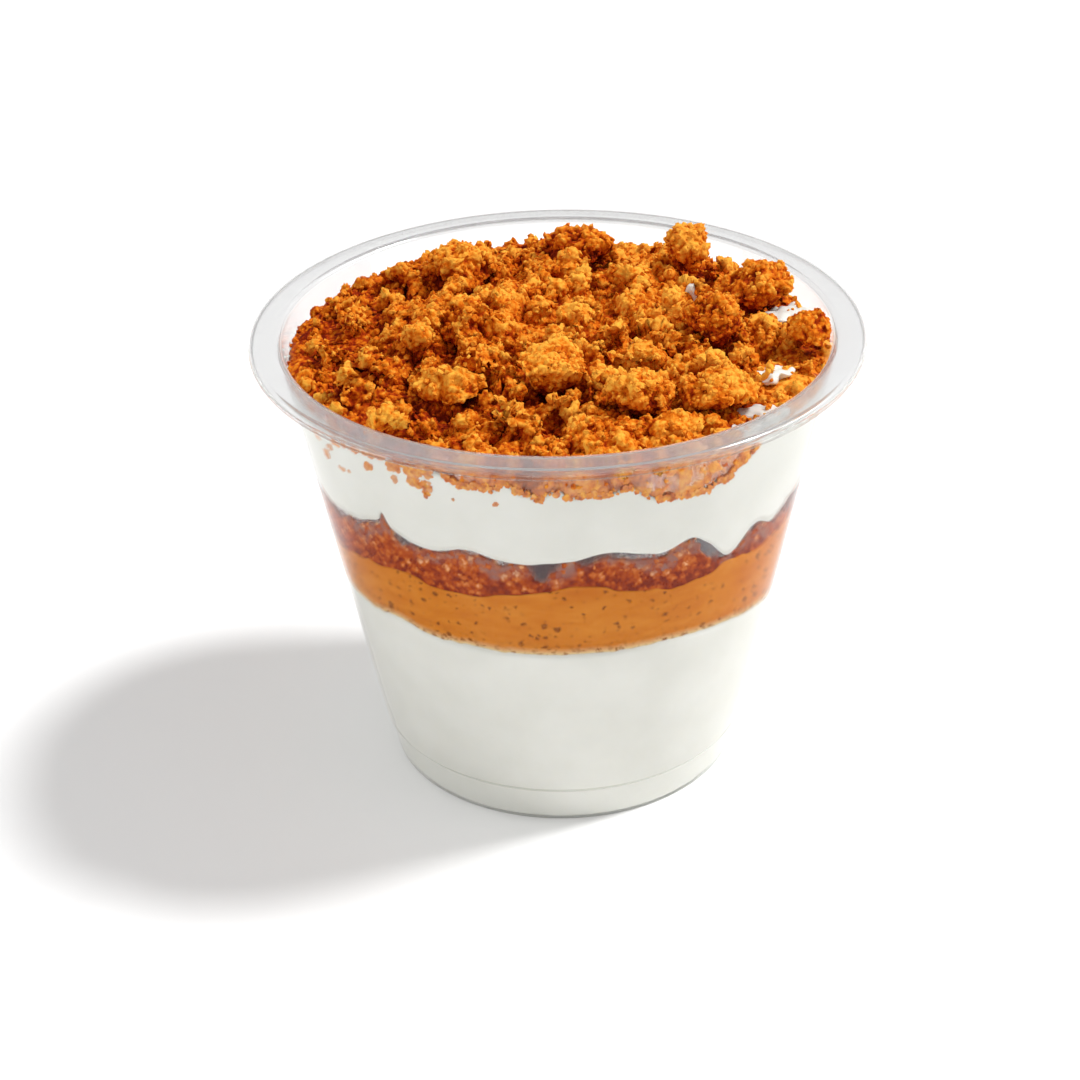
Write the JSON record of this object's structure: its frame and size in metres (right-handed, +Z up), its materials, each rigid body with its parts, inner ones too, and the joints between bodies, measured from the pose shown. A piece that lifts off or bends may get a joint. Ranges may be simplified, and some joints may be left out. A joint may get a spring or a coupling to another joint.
{
  "type": "layered dessert cup",
  "caption": "Layered cream, caramel and soaked biscuit dessert in a clear tapered cup with a rolled rim, heaped with crumbled biscuit.",
  "frame": {"origin": "centre of the cup's foot, on the surface it stands on", "axes": "+Z up along the cup's axis; the front, as seen in the picture, looks along -Y"},
  "size_m": [0.095, 0.095, 0.0807],
  "materials": {
    "clear_plastic": "clear thermoformed PET sheet, glossy",
    "white_cream": "smooth whipped cream, soft sheen",
    "caramel_cream": "smooth caramel cream with tiny dark pits",
    "soaked_biscuit": "moist soaked biscuit crumb, grainy",
    "biscuit_crumb": "dry crumbled spiced biscuit, coarse and matte"
  },
  "bodies": {
    "root": {"cup": "clear_plastic", "cream_bottom": "white_cream", "caramel_cream": "caramel_cream", "soaked_biscuit": "soaked_biscuit", "cream_top": "white_cream", "crumb_topping": "biscuit_crumb", "biscuit_chunk_1": "biscuit_crumb", "biscuit_chunk_2": "biscuit_crumb", "biscuit_chunk_3": "biscuit_crumb", "biscuit_chunk_4": "biscuit_crumb", "biscuit_chunk_5": "biscuit_crumb", "biscuit_chunk_6": "biscuit_crumb", "biscuit_chunk_7": "biscuit_crumb", "biscuit_chunk_8": "biscuit_crumb", "biscuit_chunk_9": "biscuit_crumb", "biscuit_chunk_10": "biscuit_crumb", "biscuit_chunk_11": "biscuit_crumb"}
  },
  "joints": []
}
